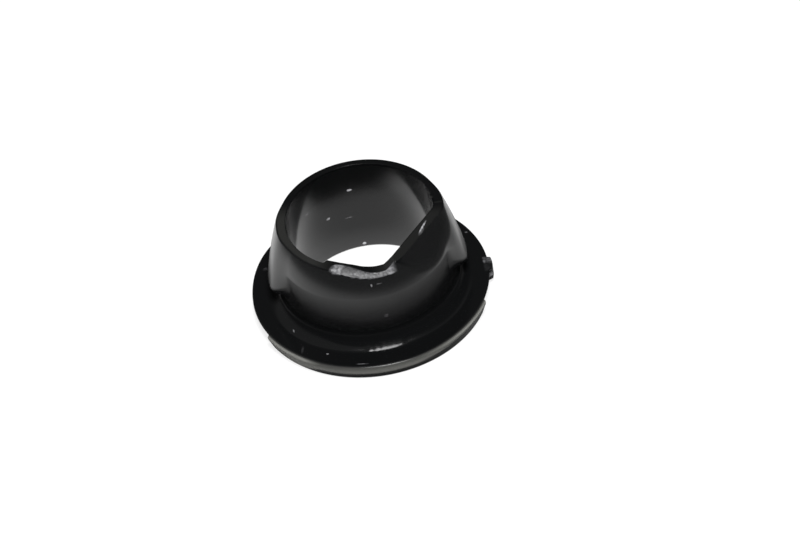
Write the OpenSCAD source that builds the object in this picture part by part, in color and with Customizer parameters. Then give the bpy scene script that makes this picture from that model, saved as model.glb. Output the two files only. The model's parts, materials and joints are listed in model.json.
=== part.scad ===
// Door lock pin bushing: a one-piece moulded sleeve that snaps into a door's trim panel
// and guides the lock pin. It lies on its show face, and the collar stands up along +Z.
// The origin is the bore's centre on the show face. All sizes are in millimetres.

/* [Flange] */
// Diameter of the flange at the panel side
flange_d = 17; // [16:0.1:24]
// Thickness of the flange
flange_t = 1.38; // [1:0.02:2.4]
// How far the flange's edge leans in towards the show face, on each side
edge_lean = 0.5; // [0.1:0.05:0.8]
// Rounding of the show face's outer edge
show_round = 0.22; // [0.05:0.01:0.4]
// Rounding of the panel side's outer edge
back_round = 0.08; // [0.02:0.01:0.2]

/* [Bore] */
// Diameter of the bore that guides the lock pin
bore_d = 10.4; // [8:0.1:10.6]
// Rounding of the bore's mouth in the show face
mouth_round = 0.2; // [0.05:0.05:0.4]
// Height above the show face at which the true round bore ends
guide_top = 5.5; // [3:0.1:5.6]
// How far the bore opens, on each side, between the guide and the rim
bore_relief = 0.05; // [0.01:0.01:0.15]

/* [Collar] */
// Height of the collar above the flange
collar_h = 6.56; // [5.6:0.02:9]
// Outer diameter of the collar's straight neck
neck_d = 12.5; // [12:0.1:14]
// Fillet between the neck and the flange
foot_fillet = 0.85; // [0.2:0.05:1]
// Height above the flange at which the lead-in starts to close
lead_in_z = 4.27; // [4.25:0.01:5]
// Wall thickness at the rim
rim_wall = 0.6; // [0.4:0.02:0.7]
// How far the lead-in bulges from a straight cone
lead_in_bulge = 0.07; // [0.02:0.01:0.12]
// Rounding of the rim's outer edge
rim_round = 0.15; // [0.05:0.01:0.3]
// Rounding of the rim's inner edge
lip_round = 0.08; // [0.02:0.01:0.1]

/* [Snap lugs] */
// Diameter over the two lugs' noses
lug_d = 14.2; // [13.8:0.1:15.8]
// Width of a lug
lug_w = 2.4; // [2:0.1:3.2]
// Gap for the trim panel between the flange and a lug
panel_gap = 1.25; // [1.05:0.05:1.6]
// Rounding of a lug's nose
nose_round = 0.6; // [0.1:0.05:0.7]
// How far a lug's top stands out of the rim
lug_top_step = 0.14; // [0.1:0.02:0.4]
// How far a lug's ramp bulges from a straight one
ramp_bulge = 0.07; // [0.02:0.01:0.12]
// Rounding of a lug's two outer corners, seen from above
lug_corner = 0.9; // [0.2:0.05:0.95]
// Fillet between a lug's sides and the neck, seen from above
lug_fillet = 0.9; // [0.2:0.05:1]

/* [Moulding marks] */
// Direction of the flat that is pressed into the collar
dent_az = -38; // [-60:1:-30]
// How far that flat reaches into the bore at the rim
dent_reach = 0.87; // [0.4:0.01:1.4]
// Wall thickness of the flat at the rim
dent_wall = 0.7; // [0.6:0.05:1]
// How far above the start of the lead-in the flat's outer side starts
dent_start = 0.4; // [0.2:0.05:0.7]
// Direction of the burr on the rim
burr_az = -118; // [-130:1:-110]
// How far the burr reaches into the bore
burr_reach = 0.3; // [0.2:0.01:1]
// Direction in which the burr's left end breaks off
burr_end_az = -124; // [-150:1:-122]
// Height of the burr's root below the rim
burr_h = 0.6; // [0.4:0.05:1.2]
// Direction of the facet that was trimmed off the rim
trim_az = -77; // [-105:1:-70]
// How far the trimmed facet starts inside the bore's radius
trim_in = 0.83; // [0.2:0.01:0.9]
// Slope of the trimmed facet
trim_slope = 24; // [15:0.5:30]
// How far the flange's lower layer stands out along its front
layer_out = 0.25; // [0.05:0.01:0.3]
// Direction in which that layer starts
layer_start_az = -154; // [-170:1:-140]
// Direction in which that layer ends
layer_end_az = -25; // [-60:1:-10]
// Depth of the layer's top edge below the flange's panel side
layer_drop = 0.12; // [0.05:0.01:0.3]
// Width of the gate's stump on the flange's edge
gate_w = 1.4; // [0.8:0.1:2]
// How far the gate's stump stands out of the flange's edge
gate_out = 0.26; // [0.1:0.02:0.5]
// Height of the gate's stump
gate_h = 0.94; // [0.6:0.02:1.36]

/* [Hidden] */
$fn = 128;
steps = 8;                  // chords in each small arc of a profile
bite = 0.25;                // overlap of joined solids, inside the wall
root_sink = 0.06;           // depth in the neck at which a lug's root fillet ends
reach = 20;                 // larger than the part, for cutting tools

bore_r = bore_d / 2;
neck_r = neck_d / 2;
flange_r = flange_d / 2;
lug_r = lug_d / 2;
rim_r = bore_r + rim_wall;  // at the top of the lead-in
top_z = flange_t + collar_h;
lead_z = flange_t + lead_in_z;
lug_z = flange_t + panel_gap;
edge_tilt = atan(edge_lean / flange_t);
// Radii at which the flange's two edge roundings have their centres
show_c = flange_r - edge_lean - show_round * (1 - sin(edge_tilt)) / cos(edge_tilt);
back_c = flange_r - back_round * (1 + sin(edge_tilt)) / cos(edge_tilt);

// Points of an arc about c from angle a0 to a1
function arc(c, r, a0, a1, n = steps) =
    [for (i = [0:n]) let (a = a0 + (a1 - a0) * i / n) c + r * [cos(a), sin(a)]];

// Points of a shallow arc from p to q that bulges to the right of that direction
function bow(p, q, bulge, n = steps) =
    let (l = norm(q - p), u = (q - p) / l, side = [u[1], -u[0]],
         half = 2 * atan(2 * bulge / l), r = l / 2 / sin(half),
         c = (p + q) / 2 - side * r * cos(half), a = atan2(side[1], side[0]))
    arc(c, r, a - half, a + half, n);

// Angle by which the normal at the end of such an arc leans up from level
function end_lean(p, q, bulge) =
    atan((p[0] - q[0]) / (q[1] - p[1])) + 2 * atan(2 * bulge / norm(q - p));

// A rounded top edge that starts at radius r, on a wall whose normal leans up by lean
function top_edge(r, round, lean) =
    arc([r - round * cos(lean), top_z - round], round, lean, 90);

// Radial section of the flange, the neck, the lead-in and the bore
module ring_section() {
    neck_end = [neck_r, lead_z];
    rim_lean = end_lean(neck_end, [rim_r, top_z - rim_round], lead_in_bulge);
    rim_end = [rim_r, top_z - rim_round * (1 - sin(rim_lean))];
    lip_r = bore_r + bore_relief;
    polygon(concat(
        arc([show_c, show_round], show_round, -90, -edge_tilt),
        arc([back_c, flange_t - back_round], back_round, -edge_tilt, 90),
        arc([neck_r + foot_fillet, flange_t + foot_fillet], foot_fillet, -90, -180),
        bow(neck_end, rim_end, lead_in_bulge),
        top_edge(rim_r, rim_round, rim_lean),
        arc([lip_r + lip_round, top_z - lip_round], lip_round, 90, 180),
        [[bore_r, guide_top]],
        arc([bore_r + mouth_round, mouth_round], mouth_round, 180, 270)));
}

// Radial section of a lug: a flat underside, a round nose and a long ramp up to the rim
module lug_section() {
    nose = [lug_r, lug_z + nose_round];
    ramp_top_r = rim_r + lug_top_step;
    lean = end_lean(nose, [ramp_top_r, top_z - rim_round], ramp_bulge);
    ramp_end = [ramp_top_r, top_z - rim_round * (1 - sin(lean))];
    polygon(concat(
        [[bore_r + bite, lug_z]],
        arc([lug_r - nose_round, lug_z + nose_round], nose_round, -90, 0),
        bow(nose, ramp_end, ramp_bulge),
        top_edge(ramp_top_r, rim_round, lean),
        [[bore_r + bite, top_z]]));
}

// One side of a lug seen from above: a straight side, a round corner and a root fillet
module lug_half_plan() {
    root_y = lug_w / 2 + lug_fillet;
    root = [sqrt(pow(neck_r - root_sink + lug_fillet, 2) - pow(root_y, 2)), root_y];
    foot = root * (neck_r - root_sink) / norm(root);
    tip_x = lug_r + bite;   // outside the nose, so that only the lug's section shapes it
    difference() {
        polygon(concat(
            [[0, 0]],
            [[tip_x, 0]],
            arc([lug_r - lug_corner, lug_w / 2 - lug_corner], lug_corner, 0, 90),
            [[root[0], lug_w / 2]],
            [foot]));
        translate(root) circle(lug_fillet);
    }
}

// The two lugs, on +X and -X
module lugs() {
    intersection() {
        rotate_extrude() lug_section();
        linear_extrude(top_z + 1)
            for (turn = [0, 180])
                rotate(turn)
                    for (flip = [0, 1])
                        mirror([0, flip]) lug_half_plan();
    }
}

// Everything beyond a plane that faces azimuth az and leans in, from radius r0 at
// height z0 to radius r1 at the rim
module beyond(az, r0, z0, r1) {
    rotate([0, 0, az])
        translate([r0, 0, z0])
            rotate([0, -atan((r0 - r1) / (top_z - z0)), 0])
                translate([0, -reach / 2, 0])
                    cube([reach, reach, reach]);
}

// A flat-sided ledge inside the bore: it grows inwards from height z0 up to the rim
module ledge(az, z0, inward) {
    intersection() {
        cylinder(r = bore_r + bite, h = top_z);
        beyond(az, bore_r, z0, bore_r - inward);
    }
}

// Everything on the +X side of a plane through the axis and azimuth az, up to height h
module past(az, h) {
    rotate([0, 0, az])
        cube([reach, reach, h]);
}

// The burr on the rim, which breaks off at its left end
module burr() {
    intersection() {
        ledge(burr_az, top_z - burr_h, burr_reach);
        past(burr_end_az, top_z);
    }
}

// What was trimmed off the front of the rim with a blade
module trim_cut() {
    rotate([0, 0, trim_az])
        translate([bore_r - trim_in, 0, top_z])
            rotate([0, trim_slope, 0])
                translate([0, -reach / 2, 0])
                    cube([reach, reach, reach]);
}

// The collar's top, pressed in at dent_az and with a trimmed burr at its front
module moulded_ring() {
    difference() {
        union() {
            rotate_extrude() ring_section();
            lugs();
            ledge(dent_az, lead_z, dent_reach);
            burr();
        }
        beyond(dent_az, neck_r, lead_z + dent_start, bore_r - dent_reach + dent_wall);
        trim_cut();
    }
}

// The flange's lower layer, which stands out between two directions
module proud_layer() {
    h = flange_t - layer_drop;
    top_r = flange_r - layer_drop * tan(edge_tilt);
    rotate([0, 0, layer_start_az])
        rotate_extrude(angle = layer_end_az - layer_start_az)
            translate([layer_out, 0])
                polygon(concat(
                    [[neck_r, h], [neck_r, 0]],
                    arc([show_c, show_round], show_round, -90, -edge_tilt),
                    [[top_r, h]]));
}

// The stump that is left where the gate was broken off
module gate_stump() {
    linear_extrude(gate_h)
        polygon([
            [flange_r - edge_lean - bite, -gate_w / 2],
            [flange_r + gate_out * 0.6, -gate_w / 2],
            [flange_r + gate_out, -gate_w * 0.2],
            [flange_r + gate_out * 0.8, gate_w * 0.1],
            [flange_r + gate_out * 0.95, gate_w * 0.35],
            [flange_r + gate_out * 0.4, gate_w / 2],
            [flange_r - edge_lean - bite, gate_w / 2]]);
}

module bushing() {
    color([0.03, 0.03, 0.03]) {
        moulded_ring();
        proud_layer();
        translate([0, 0, flange_t - gate_h]) gate_stump();
    }
}

bushing();
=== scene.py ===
"""Door lock pin bushing: its moulded skin, its glossy black finish and a plain studio."""

import json
import math

import bpy
import numpy as np
from mathutils import Matrix, Vector, noise


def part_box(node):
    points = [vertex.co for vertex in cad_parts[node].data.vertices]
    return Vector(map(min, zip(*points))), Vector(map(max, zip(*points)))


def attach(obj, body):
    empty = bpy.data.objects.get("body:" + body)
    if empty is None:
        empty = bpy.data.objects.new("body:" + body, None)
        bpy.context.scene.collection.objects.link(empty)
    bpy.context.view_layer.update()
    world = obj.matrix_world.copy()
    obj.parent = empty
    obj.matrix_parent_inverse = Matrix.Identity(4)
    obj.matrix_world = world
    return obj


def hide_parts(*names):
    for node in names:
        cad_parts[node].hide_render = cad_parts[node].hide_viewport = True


bl_info = {
    "name": "Door lock pin bushing",
    "version": (1, 0, 0),
    "blender": (4, 5, 0),
    "location": "3D View > Sidebar > Bushing",
    "description": "Moulds a snap-in bushing over its frame and lights it in a plain studio",
    "category": "Object",
}

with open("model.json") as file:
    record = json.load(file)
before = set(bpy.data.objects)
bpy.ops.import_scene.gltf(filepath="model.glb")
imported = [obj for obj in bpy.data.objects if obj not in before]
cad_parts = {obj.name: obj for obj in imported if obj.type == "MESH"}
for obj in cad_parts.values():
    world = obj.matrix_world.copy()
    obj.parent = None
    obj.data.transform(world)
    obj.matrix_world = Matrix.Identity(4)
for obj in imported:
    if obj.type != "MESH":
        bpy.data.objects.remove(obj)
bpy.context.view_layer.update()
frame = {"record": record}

NODE = "bushing"
MM = 0.001
BORE = next(m for m in frame["record"]["mounts"] if m["name"] == "bore")
TOP = float(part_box(NODE)[1][2])


def length(name, description, default, **limits):
    """A length property, in metres."""
    return bpy.props.FloatProperty(
        name=name, description=description, default=default,
        subtype="DISTANCE", unit="LENGTH", precision=5, **limits)


def angle(name, description, degrees):
    """An angle property, given in degrees."""
    return bpy.props.FloatProperty(
        name=name, description=description, default=math.radians(degrees),
        subtype="ANGLE", unit="ROTATION")


def colour(name, description, default):
    """A linear colour property."""
    return bpy.props.FloatVectorProperty(
        name=name, description=description, default=default,
        subtype="COLOR", size=3, min=0.0, max=1.0)


class BushingSizes(bpy.types.PropertyGroup):
    """Sizes of the flange, the bore, the collar and the two snap lugs."""

    flange_r: length("Flange radius", "Radius of the flange at its panel side", 8.5 * MM)
    flange_t: length("Flange thickness", "Thickness of the flange", 1.38 * MM)
    edge_lean: length("Edge lean", "How far the flange's edge leans in at the show face", 0.5 * MM)
    show_round: length("Show face rounding", "Rounding of the show face's edge", 0.22 * MM)
    back_round: length("Panel side rounding", "Rounding of the panel side's edge", 0.08 * MM)
    bore_r: length("Bore radius", "Radius of the bore", BORE["dims"]["r_mm"] * MM)
    mouth_round: length("Mouth rounding", "Rounding of the bore's mouth", 0.2 * MM)
    guide_top: length("Guide height", "Height at which the round bore ends", 5.5 * MM)
    bore_relief: length("Bore relief", "How far the bore opens towards the rim", 0.05 * MM)
    top_z: length("Height", "Height of the rim above the show face", TOP)
    neck_r: length("Neck radius", "Radius of the collar's straight neck", 6.25 * MM)
    foot_fillet: length("Foot fillet", "Fillet between the neck and the flange", 1.1 * MM)
    lead_z: length("Lead-in height", "Height at which the lead-in starts", 5.65 * MM)
    rim_wall: length("Rim wall", "Wall thickness at the rim", 0.6 * MM)
    lead_in_bulge: length("Lead-in bulge", "Bulge of the lead-in", 0.07 * MM)
    rim_round: length("Rim rounding", "Rounding of the rim's outer edge", 0.15 * MM)
    lip_round: length("Lip rounding", "Rounding of the rim's inner edge", 0.03 * MM)
    lug_r: length("Lug radius", "Distance from the axis to a lug's nose", 7.1 * MM)
    lug_z: length("Lug height", "Height of a lug's underside", 2.63 * MM)
    nose_round: length("Nose rounding", "Rounding of a lug's nose", 0.6 * MM)
    lug_top_step: length("Lug top step", "How far a lug's top stands out of the rim", 0.14 * MM)
    ramp_bulge: length("Ramp bulge", "Bulge of a lug's ramp", 0.07 * MM)
    lug_half: length("Lug half width", "Half the full-height width of a lug", 0.7 * MM)
    lug_blend: length("Lug blend", "Width over which a lug's side runs out", 2.1 * MM)
    lug_count: bpy.props.IntProperty(
        name="Lugs", description="Number of snap lugs round the collar", default=2, min=1, max=8)
    columns: bpy.props.IntProperty(
        name="Columns", description="Faces round the ring", default=600, min=90, max=615)


class BushingMarks(bpy.types.PropertyGroup):
    """Sizes of the marks that moulding, trimming and handling left."""

    dent_az: angle("Dent direction", "Direction of the flat pressed into the collar", -38)
    dent_reach: length("Dent reach", "How far the flat reaches into the bore", 0.87 * MM)
    dent_wall: length("Dent wall", "Wall thickness of the flat at the rim", 0.7 * MM)
    dent_start: length("Dent start", "How far above the lead-in the flat starts", 0.4 * MM)
    dent_soft: length("Dent softness", "Width over which the flat blends in", 0.25 * MM)
    burr_az: angle("Burr direction", "Direction of the burr on the rim", -118)
    burr_reach: length("Burr reach", "How far the burr reaches into the bore", 0.3 * MM)
    burr_end_az: angle("Burr end", "Direction in which the burr breaks off", -124)
    burr_h: length("Burr height", "Height of the burr's root below the rim", 0.6 * MM)
    burr_soft: length("Burr softness", "Width over which the burr blends in", 0.12 * MM)
    trim_az: angle("Trim direction", "Direction of the facet trimmed off the rim", -77)
    trim_in: length("Trim start", "How far the facet starts inside the bore's radius", 0.83 * MM)
    trim_slope: angle("Trim slope", "Slope of the trimmed facet", 24)
    trim_end_az: angle("Trim end", "Direction in which the facet breaks off", -73.5)
    trim_lip: length("Trim lip", "Width of the level lip inside the facet", 0.42 * MM)
    trim_bead: length("Trim bead", "How far that lip is rolled into the bore", 0.34 * MM)
    layer_out: length("Layer stand-out", "How far the flange's lower layer stands out", 0.25 * MM)
    layer_start_az: angle("Layer start", "Direction in which that layer starts", -154)
    layer_end_az: angle("Layer end", "Direction in which that layer ends", -25)
    layer_drop: length("Layer drop", "Depth of the layer's top edge", 0.12 * MM)
    layer_round: length("Layer rounding", "Height of the layer's rounded shoulder", 0.28 * MM)
    # The pale band down the flange's edge is partly flash and partly a painted reflection of the floor
    flash_and_sheen_depth: length("Flash height", "Height of the pale flash below the panel side", 0.84 * MM)
    swell_az: angle("Swell direction", "Direction in which the flange swells a little", 142)
    swell_out: length("Swell", "How far the flange swells there", 0.18 * MM)
    gate_w: length("Gate width", "Width of the gate's stump", 1.4 * MM)
    gate_out: length("Gate stand-out", "How far the gate's stump stands out", 0.26 * MM)
    gate_z: length("Gate foot", "Height of the stump's lower end", 0.44 * MM)
    sink_az: angle("Sink direction", "Direction in which the foot fillet drew in", -87)
    sink_flat: length("Sink flat", "How far the fillet is flattened there", 0.03 * MM)
    sink_ripple: length("Sink ripple", "Height of the fillet's ripples there", 0.006 * MM)
    torn_depth: length("Torn depth", "How far torn plastic is crumpled", 0.035 * MM)
    torn_scale: length("Torn scale", "Width of the crumples in torn plastic", 0.16 * MM)


class BushingLooks(bpy.types.PropertyGroup):
    """Colours and gloss of the plastic, and of the studio."""

    plastic: colour("Plastic", "Colour of the black plastic", (0.0034, 0.0036, 0.0038))
    # This pale colour also paints highlights: the overhead lamp's glint along the dented rim's edge, and part
    # of the trimmed facet's paleness
    scuff_and_glint: colour("Scuffs", "Colour of nicks and torn plastic", (0.46, 0.46, 0.48))
    # This colour also paints light: a reflection of the floor and a highlight along the flange's edge band,
    # and painted light on the rim's land
    flash_and_sheen: colour("Flash", "Colour of the rough flash on the flange's edge", (0.15, 0.15, 0.14))
    floor: colour("Floor", "Colour of the studio floor", (0.88, 0.88, 0.88))
    field_centre: bpy.props.FloatVectorProperty(
        name="Lit field's centre", description="Centre of the floor's lit field", size=3,
        default=(-0.003, 0.002, 0.0), subtype="TRANSLATION", unit="LENGTH")
    contact_centre: bpy.props.FloatVectorProperty(
        name="Contact shadow's centre", description="Centre of the floor's contact shadow", size=3,
        default=(0.0002, 0.0, 0.0), subtype="TRANSLATION", unit="LENGTH")
    contact_in: length("Contact shadow", "Radius of the floor's contact shadow", 10.3 * MM)
    contact_out: length("Contact shadow's end", "Radius at which that shadow ends", 12.4 * MM)
    field_in: length("Lit field", "Radius of the floor's lit field", 14 * MM)
    field_out: length("Lit field's end", "Radius at which the lit field ends", 23 * MM)
    field_drop: bpy.props.FloatProperty(
        name="Darkening", description="How much darker the floor is beyond the lit field",
        default=0.88, min=0.0, max=1.0, subtype="FACTOR")
    gloss: bpy.props.FloatProperty(
        name="Roughness", description="Roughness of the moulded skin", default=0.13,
        min=0.0, max=1.0, subtype="FACTOR")
    satin: bpy.props.FloatProperty(
        name="Satin roughness", description="Roughness of the collar's outer wall", default=0.24,
        min=0.0, max=1.0, subtype="FACTOR")


# ---------------------------------------------------------------- radial sections

def arc(centre, radius, start, end, count):
    """count points on an arc, its first one left out, as rows of (radius, height)."""
    turn = np.radians(start + (end - start) * np.arange(1, count + 1) / count)
    return np.column_stack([centre[0] + radius * np.cos(turn), centre[1] + radius * np.sin(turn)])


def straight(start, end, count):
    """count points on a straight line, its first one left out."""
    step = np.arange(1, count + 1)[:, None] / count
    return np.asarray(start) + (np.asarray(end) - np.asarray(start)) * step


def bow(start, end, bulge, count):
    """count points on a shallow arc that bulges to the right of its direction."""
    start, end = np.asarray(start), np.asarray(end)
    step = np.arange(1, count + 1) / count
    chord = end - start
    side = np.array([chord[1], -chord[0]]) / np.linalg.norm(chord)
    lift = 4 * bulge * step * (1 - step)
    return start + chord * step[:, None] + side * lift[:, None]


def end_lean(start, end, bulge):
    """Angle, in degrees, by which the normal at a bow's end leans up from level."""
    chord = np.asarray(end) - np.asarray(start)
    return math.degrees(math.atan2(-chord[0], chord[1])
                        + 2 * math.atan(2 * bulge / np.linalg.norm(chord)))


# Rows of the section, in order from the bore's mouth outwards and round
ROWS = {
    "show": 8, "show_edge": 6, "edge": 6, "edge_top": 3, "back_edge": 4, "panel_side": 10,
    "foot": 24, "neck": 5, "wall": 28, "lead_in": 20, "rim_edge": 8, "land": 12,
    "lip": 4, "relief": 12, "guide": 8, "mouth": 4,
}
# Of the wall's and the lead-in's rows together, the ones that a lug's underside and nose take
UNDERSIDE_ROWS = 7
NOSE_ROWS = 10


def row_span(name):
    """First and last row number of a stretch of the section."""
    first = sum(ROWS[key] for key in list(ROWS)[:list(ROWS).index(name)])
    return first, first + ROWS[name]


def upper_section(s, wall_points, ramp_start, ramp_top_r, bulge):
    """The section above the panel gap: wall or lug, lead-in or ramp, rim edge and land."""
    level = s.top_z - s.rim_round
    lean = end_lean(ramp_start, (ramp_top_r, level), bulge)
    ramp_end = (ramp_top_r, s.top_z - s.rim_round * (1 - math.sin(math.radians(lean))))
    edge_c = (ramp_top_r - s.rim_round * math.cos(math.radians(lean)), level)
    left = ROWS["wall"] + ROWS["lead_in"] - len(wall_points)
    lip_r = s.bore_r + s.bore_relief + s.lip_round
    return np.vstack([
        wall_points,
        bow(ramp_start, ramp_end, bulge, left),
        arc(edge_c, s.rim_round, lean, 90, ROWS["rim_edge"]),
        straight((edge_c[0], s.top_z), (lip_r, s.top_z), ROWS["land"]),
    ])


def ring_sections(s, marks):
    """The plain section and the section through a lug, with matching rows, in metres."""
    tilt = math.degrees(math.atan2(s.edge_lean, s.flange_t))
    sine, cosine = math.sin(math.radians(tilt)), math.cos(math.radians(tilt))
    show_c = s.flange_r - s.edge_lean - s.show_round * (1 - sine) / cosine
    back_c = s.flange_r - s.back_round * (1 + sine) / cosine
    drop_z = s.flange_t - marks.layer_drop
    drop_r = s.flange_r - marks.layer_drop * math.tan(math.radians(tilt))
    show_end = (show_c + s.show_round * cosine, s.show_round * (1 - sine))
    back_start = (back_c + s.back_round * cosine, s.flange_t - s.back_round * (1 + sine))
    below = np.vstack([
        straight((s.bore_r + s.mouth_round, 0), (show_c, 0), ROWS["show"]),
        arc((show_c, s.show_round), s.show_round, -90, -tilt, ROWS["show_edge"]),
        straight(show_end, (drop_r, drop_z), ROWS["edge"]),
        straight((drop_r, drop_z), back_start, ROWS["edge_top"]),
        arc((back_c, s.flange_t - s.back_round), s.back_round, -tilt, 90, ROWS["back_edge"]),
        straight((back_c, s.flange_t), (s.neck_r + s.foot_fillet, s.flange_t), ROWS["panel_side"]),
        arc((s.neck_r + s.foot_fillet, s.flange_t + s.foot_fillet), s.foot_fillet,
            -90, -180, ROWS["foot"]),
        straight((s.neck_r, s.flange_t + s.foot_fillet), (s.neck_r, s.lug_z), ROWS["neck"]),
    ])
    lip_r = s.bore_r + s.bore_relief
    inside = np.vstack([
        arc((lip_r + s.lip_round, s.top_z - s.lip_round), s.lip_round, 90, 180, ROWS["lip"]),
        straight((lip_r, s.top_z - s.lip_round), (s.bore_r, s.guide_top), ROWS["relief"]),
        straight((s.bore_r, s.guide_top), (s.bore_r, s.mouth_round), ROWS["guide"]),
        arc((s.bore_r + s.mouth_round, s.mouth_round), s.mouth_round, 180, 270, ROWS["mouth"]),
    ])
    rim_r = s.bore_r + s.rim_wall
    neck_end = (s.neck_r, s.lead_z)
    wall = straight((s.neck_r, s.lug_z), neck_end, ROWS["wall"])
    nose = (s.lug_r, s.lug_z + s.nose_round)
    barb = np.vstack([
        straight((s.neck_r, s.lug_z), (s.lug_r - s.nose_round, s.lug_z), UNDERSIDE_ROWS),
        arc((s.lug_r - s.nose_round, nose[1]), s.nose_round, -90, 0, NOSE_ROWS),
    ])
    plain = upper_section(s, wall, neck_end, rim_r, s.lead_in_bulge)
    lug = upper_section(s, barb, nose, rim_r + s.lug_top_step, s.ramp_bulge)
    return np.vstack([below, plain, inside]), np.vstack([below, lug, inside])


# ---------------------------------------------------------------- node helpers

def feed(tree, socket, value):
    """Links an output to an input socket, or sets the input to a plain value."""
    if isinstance(value, bpy.types.NodeSocket):
        tree.links.new(value, socket)
    elif value is not None:
        socket.default_value = value


def link_math(tree, operation, first, second=None):
    """A math node; its inputs are sockets or numbers. Returns its output."""
    node = tree.nodes.new("ShaderNodeMath")
    node.operation = operation
    feed(tree, node.inputs[0], first)
    feed(tree, node.inputs[1], second)
    return node.outputs[0]


def link_vector(tree, operation, first, second=None):
    """A vector math node's main output: a vector, or for a length or distance a number."""
    node = tree.nodes.new("ShaderNodeVectorMath")
    node.operation = operation
    feed(tree, node.inputs[0], first)
    feed(tree, node.inputs[1], second)
    return node.outputs["Value" if operation in ("LENGTH", "DISTANCE") else "Vector"]


def link_range(tree, value, given, wanted, smooth=False):
    """Maps a value from one pair of numbers to another, level beyond them."""
    node = tree.nodes.new("ShaderNodeMapRange")
    if smooth:
        node.interpolation_type = "SMOOTHSTEP"
    for name, number in zip(("From Min", "From Max", "To Min", "To Max"), (*given, *wanted)):
        feed(tree, node.inputs[name], number)
    feed(tree, node.inputs["Value"], value)
    return node.outputs["Result"]


# Which sockets a mix node uses for each kind of data: two inputs and the output
MIX_SOCKETS = {"FLOAT": (2, 3, 0), "VECTOR": (4, 5, 1), "RGBA": (6, 7, 2)}


def link_mix(tree, kind, factor, first, second):
    """Mixes two numbers, vectors or colours. Returns the mix node's output."""
    node = tree.nodes.new("ShaderNodeMix")
    node.data_type = kind
    first_slot, second_slot, result = MIX_SOCKETS[kind]
    feed(tree, node.inputs[0], factor)
    feed(tree, node.inputs[first_slot], first)
    feed(tree, node.inputs[second_slot], second)
    return node.outputs[result]


def add_sockets(tree, in_out, sockets):
    """Gives a node group its named sockets, from pairs of a name and a kind."""
    for name, kind in sockets:
        tree.interface.new_socket(name, in_out=in_out, socket_type="NodeSocket" + kind)


# ---------------------------------------------------------------- geometry nodes

def sampled_row(tree, section, row):
    """The position of a section's point, looked up by its row."""
    info = tree.nodes.new("GeometryNodeObjectInfo")
    tree.links.new(section, info.inputs["Object"])
    sample = tree.nodes.new("GeometryNodeSampleIndex")
    sample.data_type = "FLOAT_VECTOR"
    sample.domain = "POINT"
    place = tree.nodes.new("GeometryNodeInputPosition")
    tree.links.new(info.outputs["Geometry"], sample.inputs["Geometry"])
    tree.links.new(place.outputs[0], sample.inputs["Value"])
    tree.links.new(row, sample.inputs["Index"])
    return sample.outputs["Value"]


def stored(tree, geometry, name, value):
    """The geometry with a value kept on its points under a name."""
    node = tree.nodes.new("GeometryNodeStoreNamedAttribute")
    node.data_type = "FLOAT"
    node.domain = "POINT"
    node.inputs["Name"].default_value = name
    tree.links.new(geometry, node.inputs["Geometry"])
    tree.links.new(value, node.inputs["Value"])
    return node.outputs["Geometry"]


def ring_tree():
    """Turns two sections round Z, and blends one into the other at each lug."""
    tree = bpy.data.node_groups.new("Ring with snap lugs", "GeometryNodeTree")
    add_sockets(tree, "OUTPUT", [("Geometry", "Geometry")])
    add_sockets(tree, "INPUT", [
        ("Geometry", "Geometry"), ("Plain section", "Object"), ("Lug section", "Object"),
        ("Rows", "Int"), ("Columns", "Int"), ("Lugs", "Int"), ("Neck radius", "Float"),
        ("Lug half width", "Float"), ("Lug blend", "Float"), ("Material", "Material")])
    given = tree.nodes.new("NodeGroupInput").outputs
    output = tree.nodes.new("NodeGroupOutput")

    # A grid whose last row and last column land on the first ones, where they are welded
    grid = tree.nodes.new("GeometryNodeMeshGrid")
    tall = link_math(tree, "ADD", given["Rows"], 1)
    tree.links.new(link_math(tree, "ADD", given["Columns"], 1), grid.inputs["Vertices X"])
    tree.links.new(tall, grid.inputs["Vertices Y"])
    index = tree.nodes.new("GeometryNodeInputIndex").outputs[0]
    column = link_math(tree, "FLOOR", link_math(tree, "DIVIDE", link_math(tree, "ADD", index, 0.5), tall))
    across = link_math(tree, "SUBTRACT", index, link_math(tree, "MULTIPLY", column, tall))
    row = link_math(tree, "MODULO", link_math(tree, "ROUND", across), given["Rows"])
    azimuth = link_math(tree, "DIVIDE", link_math(tree, "MULTIPLY", column, math.tau), given["Columns"])

    half_pitch = link_math(tree, "DIVIDE", math.pi, given["Lugs"])
    off_lug = link_math(tree, "PINGPONG", azimuth, half_pitch)
    aside = link_math(tree, "MULTIPLY", link_math(tree, "SINE", off_lug), given["Neck radius"])
    lug_end = link_math(tree, "ADD", given["Lug half width"], given["Lug blend"])
    weight = link_range(tree, aside, (given["Lug half width"], lug_end), (1.0, 0.0), smooth=True)
    section = link_mix(tree, "VECTOR", weight, sampled_row(tree, given["Plain section"], row),
                       sampled_row(tree, given["Lug section"], row))
    turned = tree.nodes.new("ShaderNodeVectorRotate")
    turned.rotation_type = "Z_AXIS"
    tree.links.new(section, turned.inputs["Vector"])
    tree.links.new(azimuth, turned.inputs["Angle"])

    moved = tree.nodes.new("GeometryNodeSetPosition")
    named = stored(tree, grid.outputs["Mesh"], "azimuth", azimuth)
    named = stored(tree, named, "row", row)
    tree.links.new(named, moved.inputs["Geometry"])
    tree.links.new(turned.outputs[0], moved.inputs["Position"])
    weld = tree.nodes.new("GeometryNodeMergeByDistance")
    weld.inputs["Distance"].default_value = 0.001 * MM
    tree.links.new(moved.outputs[0], weld.inputs["Geometry"])
    smooth = tree.nodes.new("GeometryNodeSetShadeSmooth")
    tree.links.new(weld.outputs[0], smooth.inputs["Geometry"])
    real = tree.nodes.new("GeometryNodeRealizeInstances")
    tree.links.new(smooth.outputs[0], real.inputs["Geometry"])
    finish = tree.nodes.new("GeometryNodeSetMaterial")
    tree.links.new(real.outputs[0], finish.inputs["Geometry"])
    tree.links.new(given["Material"], finish.inputs["Material"])
    tree.links.new(finish.outputs[0], output.inputs[0])
    return tree


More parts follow.
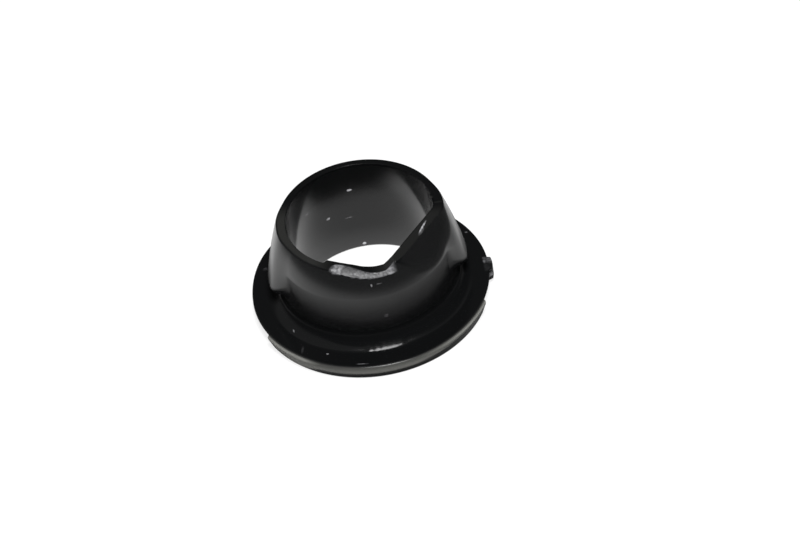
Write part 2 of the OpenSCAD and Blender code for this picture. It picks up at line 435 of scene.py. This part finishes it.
def section_object(name, points):
    """A helper object whose vertices are a section's points, in the XZ plane."""
    mesh = bpy.data.meshes.new(name)
    mesh.from_pydata([(float(r), 0.0, float(z)) for r, z in points], [], [])
    helper = bpy.data.objects.new(name, mesh)
    bpy.context.scene.collection.objects.link(helper)
    return helper


def set_inputs(modifier, values):
    """Sets a modifier's inputs by the identifiers of its tree's sockets."""
    for item in modifier.node_group.interface.items_tree:
        if item.item_type == "SOCKET" and item.in_out == "INPUT" and item.name in values:
            modifier[item.identifier] = values[item.name]


# ---------------------------------------------------------------- marks
# Each mark moves the skin's points in place. A pair of angles, in degrees from the direction
# that it is used with, says where a mark is 0 and where it is full.

def soft_min(a, b, width):
    """The lesser of a and b, with the corner between them rounded over width."""
    blend = np.clip(0.5 + 0.5 * (b - a) / width, 0, 1)
    return b + (a - b) * blend - width * blend * (1 - blend)


def between(value, low, high):
    """0 at low, 1 at high, smooth between them and level beyond; low may be the greater."""
    t = np.clip((value - low) / (high - low), 0, 1)
    return t * t * (3 - 2 * t)


def apart(azimuths, centre):
    """Signed angle from a centre azimuth, within half a turn."""
    return (azimuths - centre + math.pi) % math.tau - math.pi


def fade(angles, degrees):
    """0 at the first of a pair of angles in degrees, 1 at the second, smooth between them."""
    return between(angles, math.radians(degrees[0]), math.radians(degrees[1]))


def along(points, azimuth):
    """Distance of each point from the axis, measured towards an azimuth."""
    return points[:, 0] * math.cos(azimuth) + points[:, 1] * math.sin(azimuth)


def push(points, azimuth, distance):
    """Moves points level by a distance each, towards one azimuth or towards one each."""
    points[:, 0] += distance * np.cos(azimuth)
    points[:, 1] += distance * np.sin(azimuth)


def crumple(points, scale, seed):
    """Smooth noise at each point, from -1 to 1."""
    shift = Vector((seed, 2.7 * seed, 5.1 * seed))
    return np.array([noise.noise(Vector(p) / scale + shift) for p in points])


def across_wall(rows):
    """0 on the bore's side of the wall, 1 on its outside, and between them on the land."""
    land_first, land_last = row_span("land")
    return 1 - np.clip((rows - land_first) / (land_last - land_first), 0, 1)


def press_dent(points, rows, s, m):
    """The flat that is pressed into the collar's right front, through its whole wall."""
    side = across_wall(rows)
    rise = np.clip((points[:, 2] - s.lead_z) / (s.top_z - s.lead_z), 0, 1)
    start = s.lead_z + m.dent_start
    outer_rise = (points[:, 2] - start) / (s.top_z - start)
    inner_top = s.bore_r - m.dent_reach
    outer_top = inner_top + m.dent_wall
    inner = s.bore_r + (inner_top - s.bore_r) * rise
    outer = s.neck_r + (outer_top - s.neck_r) * outer_rise
    limit = inner + (outer - inner) * side
    reach = along(points, m.dent_az)
    upper = (rise > 0) & (reach > 0)
    moved = soft_min(reach, limit, m.dent_soft) - reach
    push(points, m.dent_az, np.where(upper, moved, 0))


def raise_burr(points, rows, azimuths, s, m):
    """The burr on the front of the rim's inner edge. It breaks off at its left end."""
    breaks_off = (-1, 1.5)
    right_end = 60
    fade_power = 0.7
    rise = np.clip((points[:, 2] - (s.top_z - m.burr_h)) / m.burr_h, 0, 1)
    limit = s.bore_r - m.burr_reach * rise
    reach = along(points, m.burr_az)
    window = fade(apart(azimuths, m.burr_end_az), breaks_off)
    window *= apart(azimuths, m.burr_az) < math.radians(right_end)
    inner = np.clip(1 - across_wall(rows), 0, 1) ** fade_power
    moved = (soft_min(reach, limit, m.burr_soft) - reach) * window * inner
    push(points, m.burr_az, np.where((rise > 0) & (reach > 0), moved, 0))


def trim_rim(points, rows, azimuths, s, m):
    """The facet that a blade left on the rim's front. Returns how rough and how pale each point is: partly
    the cut plastic's own whitening, partly a painted highlight of the overhead lamp.
    """
    rim_depth = 1.3 * MM
    corner = 0.03 * MM
    lip_grows = (-33, -5)
    breaks_off = (4, -4)
    bead_grows = (12, 28)
    bead_from = 1.2 * MM
    bead_full = 0.35 * MM
    scrape_starts = (6, 9)
    wider_end = (-31, -38)
    paler = (-32, -16)
    wider_by = 0.12 * MM
    least_pale = 0.38
    more_pale = 0.40
    aside = apart(azimuths, m.trim_az)
    from_burr = apart(azimuths, m.burr_end_az)

    # The cut: level as far as the lip's end, and sloping down from there
    reach = along(points, m.trim_az)
    lip_end = s.bore_r * np.cos(aside) + m.trim_lip * fade(aside, lip_grows)
    slant = (np.maximum(reach, lip_end) - s.bore_r + m.trim_in) * math.tan(m.trim_slope)
    plane = s.top_z - slant
    rim = points[:, 2] > s.top_z - rim_depth
    window = fade(apart(azimuths, m.trim_end_az), breaks_off)
    lowered = np.where(rim & (points[:, 2] > plane), soft_min(points[:, 2], plane, corner), points[:, 2])
    points[:, 2] += (lowered - points[:, 2]) * window

    # The lip's rolled edge, which grows from a depth below the rim up to a lesser one
    rise = between(points[:, 2], s.top_z - bead_from, s.top_z - bead_full)
    inner = (1 - across_wall(rows)) ** 2
    push(points, azimuths, -m.trim_bead * rise * window * fade(from_burr, bead_grows) * inner)

    # The blade-marked plastic: the sloping cut, and a little below it at its left end. Its pale paint is
    # partly that plastic's own whitening and partly a painted highlight of the overhead lamp, paler towards
    # its right end.
    over = points[:, 2] - plane + wider_by * fade(aside, wider_end)
    scraped_and_glint = rim * window * fade(from_burr, scrape_starts)
    scraped_and_glint *= least_pale + more_pale * fade(aside, paler)
    beyond_lip = between(reach, lip_end - 0.04 * MM, lip_end + 0.02 * MM)
    return scraped_and_glint * between(over, -0.01 * MM, 0.02 * MM) * beyond_lip


def step_layer(points, rows, azimuths, s, m):
    """The flange's lower layer, which stands out along its front with a rounded shoulder. Returns how pale
    each point is painted: the rough edge band's own paleness, with a painted reflection of the floor and a
    painted highlight on it."""
    ramp = 0.6
    left_part = (35, 20)
    right_part = (-52, -15)
    left_deeper = 0.5 * MM
    right_shallower = 0.45 * MM
    soft_end = 0.2 * MM
    band_light = 0.75
    band_top = 0.35
    band_full = 0.5 * MM
    band_right_less = 0.2
    line_from = 0.24 * MM
    line_to = 0.1 * MM
    line_right = 0.8
    clear_top = 0.06 * MM
    from_start = apart(azimuths, m.layer_start_az)
    from_end = apart(azimuths, m.layer_end_az)
    first = row_span("show")[0] + ROWS["show"] // 2
    last = row_span("back_edge")[1]
    layer = (rows >= first) & (rows < last)
    window = layer * fade(from_start, (-ramp, ramp)) * fade(from_end, (ramp, -ramp))
    depth = s.flange_t - points[:, 2]
    shoulder = np.sqrt(1 - (1 - np.clip(depth / m.layer_round, 0, 1)) ** 2)
    push(points, azimuths, m.layer_out * window * shoulder)

    # A wide pale band, partly flash and partly a painted reflection of the floor, and a thin painted
    # highlight along its top at both ends
    left, right = fade(from_start, left_part), fade(from_end, right_part)
    end = m.flash_and_sheen_depth + left_deeper * left - right_shallower * right
    band = band_top + (1 - band_top) * between(depth, 0, band_full)
    band *= (band_light - band_right_less * right) * between(depth, end, end - soft_end)
    line = (left + line_right * right) * between(depth, line_from, line_to)
    return window * between(depth, 0, clear_top) * (band + line)


def swell_flange(points, azimuths, m):
    """The flange's slight swelling, where its edge is not quite round."""
    reach = (38, 0)
    still_r = 7.3 * MM
    moving_r = 8.3 * MM
    radius = np.hypot(points[:, 0], points[:, 1])
    window = fade(np.abs(apart(azimuths, m.swell_az)), reach)
    push(points, azimuths, m.swell_out * window * between(radius, still_r, moving_r))


def ripple_foot(points, rows, azimuths, s, m):
    """The foot fillet's front, where the plastic drew in: a little flatter, and rippled."""
    patch = (14, 9)
    stronger = (0, -4)
    flat_start = math.radians(9)
    flat_turn = math.radians(36)
    ripple_scale = 0.22 * MM
    ripple_seed = 7.0
    first, last = row_span("foot")
    here = np.nonzero((rows >= first) & (rows <= last))[0]
    turn = (rows[here] - first) / (last - first) * math.pi / 2
    aside = apart(azimuths[here], m.sink_az)
    flat = np.sin(math.pi * np.clip((turn - flat_start) / flat_turn, 0, 1))
    place = np.column_stack([azimuths[here] * s.neck_r, turn * 0.4 * s.foot_fillet, 0 * here])
    ripple = crumple(place, ripple_scale, ripple_seed) * (0.3 + 0.7 * np.sin(2 * turn))
    ripple *= 1 + 2 * fade(aside, stronger)
    wave = fade(np.abs(aside), patch) * (m.sink_flat * flat + m.sink_ripple * ripple)
    points[here, 0] += wave * np.sin(turn) * np.cos(azimuths[here])
    points[here, 1] += wave * np.sin(turn) * np.sin(azimuths[here])
    points[here, 2] += wave * np.cos(turn)


def painted_land_light(rows, azimuths):
    """How pale the rim's land is painted, as painted light: most at the left front, not at all behind."""
    left_az = math.radians(-160)
    left_reach = (48, 25)
    left_pale = 0.10
    right_az = math.radians(-45)
    right_reach = (45, 30)
    right_pale = 0.05
    first, last = row_span("land")
    land = between(rows, first - 5, first) * between(rows, last + 1, last - 2)
    left = left_pale * fade(np.abs(apart(azimuths, left_az)), left_reach)
    right = right_pale * fade(np.abs(apart(azimuths, right_az)), right_reach)
    return land * (left + right)


def tear_gate(points, rows, azimuths, s, m):
    """The torn stump of the gate on the flange's +X edge. Returns how rough each point is."""
    patch_depth = 0.35 * MM
    upper_y = 0.35 * MM
    upper_size = 0.25 * MM
    lower_z = 0.95 * MM
    lower_size = 0.22 * MM
    lower_end_y = -0.4 * MM
    least_torn = 0.02
    lump_scale = 0.2 * MM
    lump_seed = 9.0
    first = row_span("edge")[0]
    last = row_span("back_edge")[1]
    near = (np.abs(apart(azimuths, 0)) < 1) & (np.abs(points[:, 1]) < m.gate_w / 2)
    stump = near & (rows >= first) & (rows < last) & (points[:, 2] > m.gate_z)
    face = s.flange_r + m.gate_out * (0.95 - 1.8 * (points[:, 1] / m.gate_w) ** 2)
    points[:, 0] = np.where(stump, np.maximum(points[:, 0], face), points[:, 0])

    # Two crumpled lumps in the patch that the stump and its surroundings take up
    torn = np.zeros(len(points))
    patch = near & (rows >= first) & (rows < last + 3) & (points[:, 0] > s.flange_r - patch_depth)
    here = np.nonzero(patch)[0]
    across, height = points[here, 1], points[here, 2]
    upper = np.exp(-((across - upper_y) / upper_size) ** 2)
    lower = np.exp(-((height - lower_z) / lower_size) ** 2) * (across < lower_end_y)
    lumps = np.clip(0.3 + 0.4 * crumple(points[here], lump_scale, lump_seed), 0, 1)
    torn[here] = np.maximum((upper + lower) * lumps, least_torn)
    return torn


def roughen(points, mask, depth, scale, low, high):
    """Crumples the points under a mask, and keeps them inside the frame's box."""
    chosen = np.nonzero(mask > 0.01)[0]
    picked = points[chosen]
    finer = scale / 2.3
    for axis in range(3):
        lift = crumple(picked, scale, 1.0 + axis) + 0.5 * crumple(picked, finer, 4.0 + axis)
        points[chosen, axis] += lift * depth * mask[chosen]
    points[:] = np.clip(points, np.asarray(low), np.asarray(high))


def finish_masks(rows):
    """How satin and how far from mirroring the skin is, by its rows: the collar's outer wall is satin, and
    the top of the foot fillet and the flange's edge mirror little. That weak mirroring is painted shade,
    which stands in for the darker floor that they would reflect."""
    satin_share = 0.6
    edge_painted_shade = 0.8
    satin_from = (0.5, 1)
    painted_shade_from = (0.38, 0.54)
    foot_first, foot_last = row_span("foot")
    up_foot = (rows - foot_first) / (foot_last - foot_first)
    satin = satin_share * between(up_foot, *satin_from) * (rows < row_span("rim_edge")[0])
    unmirrored = between(up_foot, *painted_shade_from) * between(rows, foot_last + 5, foot_last + 3)
    edge = (rows >= row_span("show_edge")[0]) & (rows < row_span("edge_top")[1])
    return satin, np.where(edge, edge_painted_shade, unmirrored)


def press_marks(points, rows, azimuths, s, m):
    """Puts every mark into the skin's points. Returns its masks, by their attributes' names."""
    press_dent(points, rows, s, m)
    raise_burr(points, rows, azimuths, s, m)
    # The trimmed facet's pale mask is partly a painted highlight; the gate's torn mask joins it
    torn = trim_rim(points, rows, azimuths, s, m)
    flash_and_sheen = step_layer(points, rows, azimuths, s, m)
    torn = np.maximum(torn, tear_gate(points, rows, azimuths, s, m))
    swell_flange(points, azimuths, m)
    ripple_foot(points, rows, azimuths, s, m)
    low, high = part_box(NODE)
    roughen(points, torn, m.torn_depth, m.torn_scale, low, high)
    # The rim's land gets painted light in the same pale colour as the edge band
    flash_and_sheen = np.maximum(flash_and_sheen, painted_land_light(rows, azimuths))
    # The weak mirroring at the foot fillet's top and the flange's edge is painted shade
    satin, unmirrored = finish_masks(rows)
    return {"torn": torn, "satin": satin, "flash_and_sheen": flash_and_sheen, "unmirrored": unmirrored}


# ---------------------------------------------------------------- materials

def spot_group():
    """A node group: a small stretched spot at a place on the surface."""
    tree = bpy.data.node_groups.new("Spot", "ShaderNodeTree")
    add_sockets(tree, "OUTPUT", [("Mask", "Float")])
    add_sockets(tree, "INPUT", [("Position", "Vector"), ("Centre", "Vector"), ("Turn", "Vector"),
                                ("Size", "Vector"), ("Strength", "Float")])
    given = tree.nodes.new("NodeGroupInput").outputs
    output = tree.nodes.new("NodeGroupOutput")
    turned = tree.nodes.new("ShaderNodeVectorRotate")
    turned.rotation_type = "EULER_XYZ"
    tree.links.new(link_vector(tree, "SUBTRACT", given["Position"], given["Centre"]), turned.inputs["Vector"])
    tree.links.new(given["Turn"], turned.inputs["Rotation"])
    distance = link_vector(tree, "LENGTH", link_vector(tree, "DIVIDE", turned.outputs[0], given["Size"]))
    mask = link_range(tree, distance, (1.0, 0.35), (0.0, given["Strength"]), smooth=True)
    tree.links.new(mask, output.inputs["Mask"])
    return tree


# Nicks and light scratches, and in the last two rows a painted highlight: place in mm, turn about Z in
# degrees, half sizes in mm, strength
NICKS_AND_GLINTS = [
    ((-0.03, 5.20, 0.37), 0, (0.17, 0.30, 0.15), 2.0),
    ((-0.49, 5.18, 5.69), 0, (0.24, 0.30, 0.12), 1.8),
    ((-2.29, 4.67, 3.72), 26, (0.20, 0.30, 0.16), 0.8),
    ((-0.83, 5.13, 3.13), 9, (0.34, 0.30, 0.07), 0.35),
    ((-3.69, 3.66, 5.43), 45, (0.22, 0.30, 0.14), 0.3),
    ((-5.86, -3.79, 1.38), 8, (0.07, 0.20, 0.20), 0.45),
    ((-3.73, -6.57, 1.38), -25, (0.13, 0.09, 0.20), 0.35),
    ((-5.42, -5.78, 1.38), -12, (0.12, 0.50, 0.20), 0.035),
    ((-1.42, -8.10, 1.38), -10, (0.56, 0.06, 0.20), 0.20),
    ((7.30, 3.56, 1.38), -20, (0.16, 0.09, 0.20), 0.16),
    ((-7.30, 3.05, 1.38), 30, (0.25, 0.18, 0.20), 0.07),
    ((0.07, -5.95, 6.72), 0, (0.10, 0.30, 0.18), 0.8),
    ((0.60, -5.92, 6.77), 0, (0.30, 0.30, 0.08), 0.25),
    ((0.76, -6.20, 3.81), 0, (0.22, 0.30, 0.20), 0.08),
    # A painted highlight: the overhead lamp's glint along the dented rim's edge, painted pale in two spots
    ((4.20, -2.30, 7.90), -28, (0.09, 0.80, 0.25), 1.1),
    ((4.05, -2.75, 7.90), -30, (0.16, 0.50, 0.25), 0.25),
]


def mask_of(tree, name):
    """A mask that the skin carries as a point attribute."""
    node = tree.nodes.new("ShaderNodeAttribute")
    node.attribute_name = name
    return node.outputs["Fac"]


def fine_noise(tree, place, scale, detail):
    """A noise texture's value."""
    node = tree.nodes.new("ShaderNodeTexNoise")
    node.inputs["Scale"].default_value = scale
    node.inputs["Detail"].default_value = detail
    tree.links.new(place, node.inputs["Vector"])
    return node.outputs["Fac"]


def bump(tree, height, strength, normal=None):
    """A shallow bump of a height over a normal. Returns the bumped normal."""
    node = tree.nodes.new("ShaderNodeBump")
    node.inputs["Distance"].default_value = 0.01 * MM
    tree.links.new(height, node.inputs["Height"])
    feed(tree, node.inputs["Strength"], strength)
    feed(tree, node.inputs["Normal"], normal)
    return node.outputs["Normal"]


def all_marks(tree, place):
    """One mask of the torn patches and all the nicks, with the painted highlights among them."""
    # On the trimmed facet this mask is partly a painted highlight of the overhead lamp
    marks = mask_of(tree, "torn")
    group = spot_group()
    for spot, turn, size, strength in NICKS_AND_GLINTS:
        spot_node = tree.nodes.new("ShaderNodeGroup")
        spot_node.node_tree = group
        spot_node.inputs["Centre"].default_value = [c * MM for c in spot]
        spot_node.inputs["Turn"].default_value = (0, 0, -math.radians(turn))
        spot_node.inputs["Strength"].default_value = strength
        spot_node.inputs["Size"].default_value = [c * MM for c in size]
        tree.links.new(place, spot_node.inputs["Position"])
        marks = link_math(tree, "MAXIMUM", marks, spot_node.outputs["Mask"])
    return marks


def black_plastic(looks):
    """Glossy black moulded plastic: faint flow waves, fine specks, nicks and torn patches, a pale band on the
    flange's edge, and painted highlights, painted light and painted shade.
    """
    material = bpy.data.materials.new("Black moulded plastic")
    material.use_nodes = True
    tree = material.node_tree
    skin = tree.nodes["Principled BSDF"]
    skin.inputs["IOR"].default_value = 1.5
    place = tree.nodes.new("ShaderNodeTexCoord").outputs["Object"]
    flow = fine_noise(tree, place, scale=420.0, detail=3.0)
    grain = fine_noise(tree, place, scale=5200.0, detail=4.0)
    marks = all_marks(tree, place)

    specks = link_range(tree, grain, (0.35, 0.65), (0.3, 1.0))
    pale = link_math(tree, "MULTIPLY", specks, marks)
    # Pale band on the flange's edge, partly flash and partly painted reflection and highlight, and painted
    # light on the rim's land
    plain = link_mix(tree, "RGBA", mask_of(tree, "flash_and_sheen"), (*looks.plastic, 1), (*looks.flash_and_sheen, 1))
    # The pale colour of nicks, torn plastic and the painted highlights
    paint = link_mix(tree, "RGBA", pale, plain, (*looks.scuff_and_glint, 1))
    tree.links.new(paint, skin.inputs["Base Color"])

    # Painted shade: where the mask is full the skin mirrors little, standing in for a darker floor in its
    # reflection
    mirror = link_range(tree, mask_of(tree, "unmirrored"), (0.0, 1.0), (0.5, 0.03))
    tree.links.new(mirror, skin.inputs["Specular IOR Level"])

    base = link_mix(tree, "FLOAT", mask_of(tree, "satin"), looks.gloss, looks.satin)
    vary = link_range(tree, flow, (0.3, 0.7), (0.9, 1.15))
    gloss = link_math(tree, "MULTIPLY", base, vary)
    tree.links.new(link_mix(tree, "FLOAT", marks, gloss, 0.5), skin.inputs["Roughness"])

    waves = bump(tree, flow, 0.25)
    tree.links.new(bump(tree, grain, marks, waves), skin.inputs["Normal"])
    return material


def floor_material(looks):
    """A pale floor that reads white to the camera, keeps soft shadows, and darkens for
    reflections: beyond a small lit field, in the part's contact shadow, and in the bore."""
    field_dim = (0.25, looks.field_drop)
    contact_dim = (0.85, 0.25)
    bore_dim = (0.42, 0.08)
    # Nearer than this, gloss sees the floor only through the bore
    contact_r = 7 * MM
    bore_fade = (2.6 * MM, 4.6 * MM)
    # The rest of what the camera sees is the matt floor, which carries the shadow
    white_share = 0.8
    material = bpy.data.materials.new("Studio floor")
    material.use_nodes = True
    tree = material.node_tree
    unmirrored = tree.nodes["Principled BSDF"]
    unmirrored.inputs["Roughness"].default_value = 0.9
    unmirrored.inputs["Specular IOR Level"].default_value = 0.0
    path = tree.nodes.new("ShaderNodeLightPath")

    place = tree.nodes.new("ShaderNodeTexCoord").outputs["Object"]
    from_field = link_vector(tree, "DISTANCE", place, looks.field_centre)
    from_part = link_vector(tree, "DISTANCE", place, looks.contact_centre)
    field = link_range(tree, from_field, (looks.field_in, looks.field_out), field_dim, smooth=True)
    contact = link_range(tree, from_part, (looks.contact_in, looks.contact_out), contact_dim, smooth=True)
    outside = link_math(tree, "GREATER_THAN", from_part, contact_r)
    around = link_math(tree, "MULTIPLY", link_math(tree, "MAXIMUM", contact, field), outside)
    in_bore = link_range(tree, from_part, bore_fade, bore_dim, smooth=True)
    dim = link_math(tree, "MULTIPLY", link_math(tree, "MAXIMUM", around, in_bore),
                    path.outputs["Is Glossy Ray"])
    paint = link_mix(tree, "RGBA", dim, (*looks.floor, 1), (0, 0, 0, 1))
    tree.links.new(paint, unmirrored.inputs["Base Color"])

    white = tree.nodes.new("ShaderNodeEmission")
    white.inputs["Strength"].default_value = 1.0
    seen = link_math(tree, "MULTIPLY", path.outputs["Is Camera Ray"], white_share)
    mix = tree.nodes.new("ShaderNodeMixShader")
    tree.links.new(seen, mix.inputs[0])
    tree.links.new(unmirrored.outputs[0], mix.inputs[1])
    tree.links.new(white.outputs[0], mix.inputs[2])
    tree.links.new(mix.outputs[0], tree.nodes["Material Output"].inputs["Surface"])
    return material


# ---------------------------------------------------------------- operators

def ring_mesh(context, s):
    """The plain ring with its lugs, made by the node tree, as one closed mesh."""
    scene = context.scene
    plain, lug = ring_sections(s, scene.bushing_marks)
    plain_helper = section_object("plain_section", plain)
    lug_helper = section_object("lug_section", lug)
    carrier = bpy.data.objects.new("ring_maker", bpy.data.meshes.new("ring_maker"))
    scene.collection.objects.link(carrier)
    modifier = carrier.modifiers.new("Ring", "NODES")
    modifier.node_group = ring_tree()
    set_inputs(modifier, {
        "Plain section": plain_helper, "Lug section": lug_helper,
        "Rows": len(plain), "Columns": s.columns, "Lugs": s.lug_count,
        "Neck radius": s.neck_r, "Lug half width": s.lug_half, "Lug blend": s.lug_blend,
        "Material": black_plastic(scene.bushing_looks),
    })
    graph = context.evaluated_depsgraph_get()
    mesh = bpy.data.meshes.new_from_object(carrier.evaluated_get(graph))
    for helper in (carrier, plain_helper, lug_helper):
        bpy.data.objects.remove(helper)
    if len(mesh.vertices) != len(plain) * s.columns:
        raise RuntimeError("the ring's seam did not close")
    return mesh


def taken(mesh, name):
    """A point attribute's values. The attribute, which only the making needs, is removed."""
    values = np.empty(len(mesh.vertices))
    mesh.attributes[name].data.foreach_get("value", values)
    mesh.attributes.remove(mesh.attributes[name])
    return values


class BUSHING_OT_mould(bpy.types.Operator):
    """Mould the bushing: turn its sections into a ring with lugs and press in its marks"""

    bl_idname = "bushing.mould"
    bl_label = "Mould the bushing"

    def execute(self, context):
        scene = context.scene
        mesh = ring_mesh(context, scene.bushing_sizes)
        points = np.empty(len(mesh.vertices) * 3)
        mesh.vertices.foreach_get("co", points)
        points = points.reshape(-1, 3)
        azimuths, rows = taken(mesh, "azimuth"), taken(mesh, "row")
        masks = press_marks(points, rows, azimuths, scene.bushing_sizes, scene.bushing_marks)
        mesh.vertices.foreach_set("co", points.ravel())
        for name, values in masks.items():
            mesh.attributes.new(name, "FLOAT", "POINT").data.foreach_set("value", values)
        mesh.name = "bushing_skin"
        mesh.update()
        outward = sum(p.area * p.normal.dot(p.center) for p in mesh.polygons)
        if outward < 0:
            mesh.flip_normals()
        skin = bpy.data.objects.new("bushing_skin", mesh)
        scene.collection.objects.link(skin)
        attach(skin, "root")
        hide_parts(NODE)
        return {"FINISHED"}


# The camera: how high it looks from, its roll, its distance, and its focal length and the
# target's place, both in pixels of a frame that is 800 pixels wide
VIEW = {
    "elevation": math.radians(43.11), "roll": math.radians(9.06), "distance": 300 * MM,
    "focal_px": 4245.0, "width_px": 800.0, "height_px": 549.0,
    "target": Vector((0, 0, 3 * MM)), "target_px": (367.9, 265.4),
}
SENSOR_MM = 36.0


def place_camera(scene):
    """The camera at the viewing angle, with the target off the frame's centre."""
    v = VIEW
    forward = Vector((0, math.cos(v["elevation"]), -math.sin(v["elevation"])))
    right = Vector((1, 0, 0))
    up = right.cross(forward)
    c, s = math.cos(v["roll"]), math.sin(v["roll"])
    right, up = c * right - s * up, s * right + c * up
    per_px = v["distance"] / v["focal_px"]
    aside = (v["width_px"] / 2 - v["target_px"][0]) * per_px
    above = (v["target_px"][1] - v["height_px"] / 2) * per_px
    eye = v["target"] - forward * v["distance"] + right * aside + up * above
    camera = bpy.data.objects.new("camera", bpy.data.cameras.new("camera"))
    camera.data.sensor_width = SENSOR_MM
    camera.data.lens = v["focal_px"] / v["width_px"] * SENSOR_MM
    camera.data.clip_start = 0.01
    camera.data.clip_end = 10.0
    turn = Matrix((right, up, -forward)).transposed()
    camera.matrix_world = Matrix.Translation(eye) @ turn.to_4x4()
    scene.collection.objects.link(camera)
    scene.camera = camera


# The soft lamps: name, place and size in metres, power in watts, whether gloss mirrors them,
# and whether they light matt surfaces
LAMPS = [
    ("overhead", (0.014, -0.02, 0.4), (0.088, 0.11), 0.30, True, False),
    ("front", (0.035, -0.23, 0.47), (0.13, 0.13), 4.4, False, True),
]


def softbox(scene, name, place, size, power, mirrored, lights_matt):
    """An area light that looks at the part. Gloss or matt surfaces may leave it out."""
    lamp = bpy.data.lights.new(name, "AREA")
    lamp.shape = "RECTANGLE"
    lamp.size, lamp.size_y = size
    lamp.energy = power
    box = bpy.data.objects.new(name, lamp)
    box.location = place
    box.rotation_euler = (-Vector(place)).to_track_quat("-Z", "Y").to_euler()
    box.visible_glossy = mirrored
    box.visible_diffuse = lights_matt
    scene.collection.objects.link(box)


# The room in reflections, by a direction's X, Y and Z: a band across the ceiling, centred on
# one Y and fading past a distance from it, which stops short of the right except low down
ROOM = {
    "band_y": 0.16, "band_reach": (0.46, 0.56), "band_light": (0.15, 0.02),
    "right_x": (0.1, 0.45), "low_z": (0.1, 0.3), "ambient": 0.13,
}


def studio_world(scene):
    """White to the camera, soft ambient light, and a dim room in reflections."""
    world = bpy.data.worlds.new("Studio")
    world.use_nodes = True
    scene.world = world
    tree = world.node_tree
    path = tree.nodes.new("ShaderNodeLightPath")
    split = tree.nodes.new("ShaderNodeSeparateXYZ")
    tree.links.new(tree.nodes.new("ShaderNodeTexCoord").outputs["Generated"], split.inputs[0])
    off_band = link_math(tree, "ABSOLUTE", link_math(tree, "SUBTRACT", split.outputs["Y"], ROOM["band_y"]))
    band = link_range(tree, off_band, ROOM["band_reach"], ROOM["band_light"], smooth=True)
    leftward = link_range(tree, split.outputs["X"], ROOM["right_x"], (1.0, 0.0))
    low = link_range(tree, split.outputs["Z"], ROOM["low_z"], (1.0, 0.0))
    ceiling = link_math(tree, "MULTIPLY", band, link_math(tree, "MAXIMUM", leftward, low))
    ambient = link_mix(tree, "FLOAT", path.outputs["Is Diffuse Ray"], ceiling, ROOM["ambient"])
    white = link_math(tree, "MAXIMUM", ambient, path.outputs["Is Camera Ray"])
    room = tree.nodes["Background"]
    room.inputs["Color"].default_value = (1, 1, 1, 1)
    tree.links.new(white, room.inputs["Strength"])


class BUSHING_OT_stage(bpy.types.Operator):
    """Lay a pale floor, hang the soft lights and set up the camera"""

    bl_idname = "bushing.stage"
    bl_label = "Set the stage"

    def execute(self, context):
        scene = context.scene
        half = 0.6
        # A hair below the part, so that the floor and the show face don't share a plane
        level = -0.01 * MM
        corners = [(-half, -half, level), (half, -half, level), (half, half, level), (-half, half, level)]
        mesh = bpy.data.meshes.new("floor")
        mesh.from_pydata(corners, [], [(0, 1, 2, 3)])
        mesh.materials.append(floor_material(scene.bushing_looks))
        floor = bpy.data.objects.new("floor", mesh)
        scene.collection.objects.link(floor)
        for lamp in LAMPS:
            softbox(scene, *lamp)
        studio_world(scene)
        place_camera(scene)
        scene.view_settings.view_transform = "Standard"
        return {"FINISHED"}


class BUSHING_PT_panel(bpy.types.Panel):
    """The bushing's steps, in order"""

    bl_idname = "BUSHING_PT_panel"
    bl_label = "Door lock pin bushing"
    bl_space_type = "VIEW_3D"
    bl_region_type = "UI"
    bl_category = "Bushing"

    def draw(self, context):
        for operator in (BUSHING_OT_mould, BUSHING_OT_stage):
            self.layout.operator(operator.bl_idname)


CLASSES = (BushingSizes, BushingMarks, BushingLooks, BUSHING_OT_mould, BUSHING_OT_stage,
           BUSHING_PT_panel)
GROUPS = (("bushing_sizes", BushingSizes), ("bushing_marks", BushingMarks),
          ("bushing_looks", BushingLooks))


def register():
    """Registers the classes and gives each scene its property groups."""
    for cls in CLASSES:
        bpy.utils.register_class(cls)
    for name, cls in GROUPS:
        setattr(bpy.types.Scene, name, bpy.props.PointerProperty(type=cls))


def unregister():
    """Undoes what register does."""
    for name, _ in GROUPS:
        delattr(bpy.types.Scene, name)
    for cls in reversed(CLASSES):
        bpy.utils.unregister_class(cls)


def main():
    """Builds the part and the stage."""
    register()
    bpy.ops.bushing.mould()
    bpy.ops.bushing.stage()


if __name__ == "__main__":
    main()
